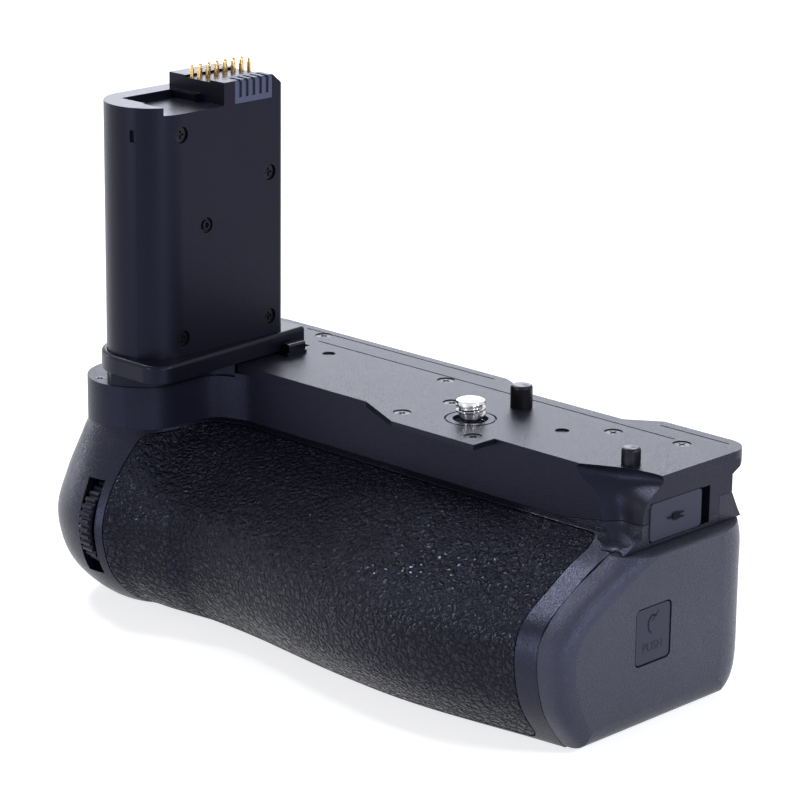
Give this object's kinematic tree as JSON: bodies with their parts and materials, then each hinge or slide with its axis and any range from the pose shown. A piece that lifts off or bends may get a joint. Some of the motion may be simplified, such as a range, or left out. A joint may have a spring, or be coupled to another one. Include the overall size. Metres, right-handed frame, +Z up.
{
  "type": "camera battery grip",
  "caption": "Vertical battery grip that screws under a camera body, with a battery tray, control dials, a release button, a thumb stick and a tower for the battery bay.",
  "frame": {"origin": "mouth of the tripod socket in the base, straight below the camera screw", "axes": "+Z up along the camera screw, +X to the battery tray end, -Y to the front of the camera where the fingers lie"},
  "size_m": [0.1543, 0.0711, 0.1186],
  "materials": {
    "shell_plastic": "satin moulded, dark blue-black",
    "plate_plastic": "fine moulded grain",
    "cap_plastic": "spark-eroded speckle",
    "grip_rubber": "leather-grain rubber",
    "tower_plastic": "smooth satin",
    "gloss_black": "smooth",
    "comb_plastic": "grey-blue",
    "control_plastic": "ribbed controls",
    "inner_plastic": "plain moulded",
    "cell_case": "satin case",
    "circuit_board": "lacquered board",
    "gold_contact": "gold plated",
    "stainless": "turned stainless steel",
    "pinion_brass": "cut brass",
    "black_screws": "black passivated steel"
  },
  "bodies": {
    "grip": {"lower_housing": "shell_plastic", "rear_cover": "shell_plastic", "upper_housing": "plate_plastic", "front_grip_skin": "grip_rubber", "rear_thumb_skin": "grip_rubber", "tower_body": "tower_plastic", "tower_cover": "tower_plastic", "tower_collar": "tower_plastic", "chamber_hook": "gloss_black", "contact_comb": "comb_plastic", "tower_board": "circuit_board", "tower_screws": "black_screws", "plate_screws": "black_screws", "base_screws": "black_screws", "locating_pins": "black_screws", "screw_bush": "stainless", "wheel_axle": "stainless", "drive_bridge": "stainless", "tripod_socket": "stainless", "battery_chamber": "inner_plastic", "main_board": "circuit_board", "port_socket": "gloss_black", "bay_contacts": "gold_contact", "front_dial_axle": "stainless", "front_dial_yoke": "inner_plastic", "rear_dial_axle": "stainless", "rear_dial_yoke": "inner_plastic", "shutter_switch": "inner_plastic", "iso_switch": "inner_plastic", "af_switch": "inner_plastic", "joystick_cup": "inner_plastic"},
    "tray": {"battery_tray": "inner_plastic", "tray_contacts": "gold_contact", "battery_inner": "cell_case", "battery_outer": "cell_case", "tray_end_cap": "cap_plastic", "latch_pin": "stainless"},
    "key": {"latch_key": "gloss_black"},
    "bolt": {"latch_bolt": "stainless"},
    "screw": {"camera_screw": "stainless", "screw_pinion": "pinion_brass"},
    "wheel": {"attach_wheel": "control_plastic"},
    "front_thumb_dial": {"front_dial": "control_plastic"},
    "rear_thumb_dial": {"rear_dial": "control_plastic"},
    "release": {"shutter_button": "control_plastic"},
    "lock_ring": {"shutter_lock_ring": "control_plastic"},
    "side_button": {"iso_button": "control_plastic"},
    "back_button": {"af_button": "control_plastic"},
    "gimbal": {"joystick_gimbal": "inner_plastic"},
    "stick": {"joystick": "control_plastic"},
    "door": {"port_door": "cap_plastic"},
    "pins": {"contact_pins": "gold_contact"}
  },
  "joints": [
    {"name": "tray_slide", "type": "slide", "parent": "grip", "child": "tray", "axis": [1, 0, 0], "range_m": [0, 0.122]},
    {"name": "key_turn", "type": "hinge", "parent": "tray", "child": "key", "pos_m": [0.05545, -0.0063, 0.0186], "axis": [0, 1, 0], "range_deg": [0, 18.4]},
    {"name": "bolt_slide", "type": "slide", "parent": "tray", "child": "bolt", "axis": [0, 0, 1], "range_m": [0, 0.00116], "stiffness_N_per_m": 300},
    {"name": "wheel_spin", "type": "hinge", "parent": "grip", "child": "wheel", "pos_m": [0.0085, 0.0129, 0.0467], "axis": [0, 0, 1], "continuous": true},
    {"name": "screw_spin", "type": "hinge", "parent": "grip", "child": "screw", "pos_m": [0, 0, 0.05], "axis": [0, 0, 1], "continuous": true},
    {"name": "front_dial_spin", "type": "hinge", "parent": "grip", "child": "front_thumb_dial", "pos_m": [-0.07545, -0.0331, 0.0197], "axis": [1, 0, 0], "continuous": true},
    {"name": "rear_dial_spin", "type": "hinge", "parent": "grip", "child": "rear_thumb_dial", "pos_m": [-0.0825, 0.0193, 0.029], "axis": [1, 0, 0], "continuous": true},
    {"name": "release_press", "type": "slide", "parent": "grip", "child": "release", "axis": [1, 0, 0], "range_m": [0, 0.0012], "stiffness_N_per_m": 600},
    {"name": "lock_ring_turn", "type": "hinge", "parent": "grip", "child": "lock_ring", "pos_m": [-0.0957, -0.0198, 0.0186], "axis": [1, 0, 0], "range_deg": [0, 25]},
    {"name": "side_button_press", "type": "slide", "parent": "grip", "child": "side_button", "axis": [1, 0, 0], "range_m": [0, 0.0007], "stiffness_N_per_m": 500},
    {"name": "back_button_press", "type": "slide", "parent": "grip", "child": "back_button", "axis": [0, -1, 0], "range_m": [0, 0.0007], "stiffness_N_per_m": 500},
    {"name": "stick_tilt_updown", "type": "hinge", "parent": "grip", "child": "gimbal", "pos_m": [-0.0753, 0.0204, 0.015], "axis": [1, 0, 0], "range_deg": [-10, 10], "stiffness_Nm_per_rad": 0.01},
    {"name": "stick_tilt_sideways", "type": "hinge", "parent": "gimbal", "child": "stick", "pos_m": [-0.0753, 0.0204, 0.015], "axis": [0, 0, 1], "range_deg": [-10, 10], "stiffness_Nm_per_rad": 0.01},
    {"name": "port_door_swing", "type": "hinge", "parent": "grip", "child": "door", "pos_m": [0.0533, -0.0044, 0.0431], "axis": [0, 0, -1], "range_deg": [0, 110]},
    {"name": "contact_press", "type": "slide", "parent": "grip", "child": "pins", "axis": [0, 0, -1], "range_m": [0, 0.0008], "stiffness_N_per_m": 800}
  ],
  "couplings": [
    {"joint": "screw_spin", "follows": "wheel_spin", "ratio": -3.25},
    {"joint": "key_turn", "follows": "bolt_slide", "rad_per_m": 270.83}
  ]
}
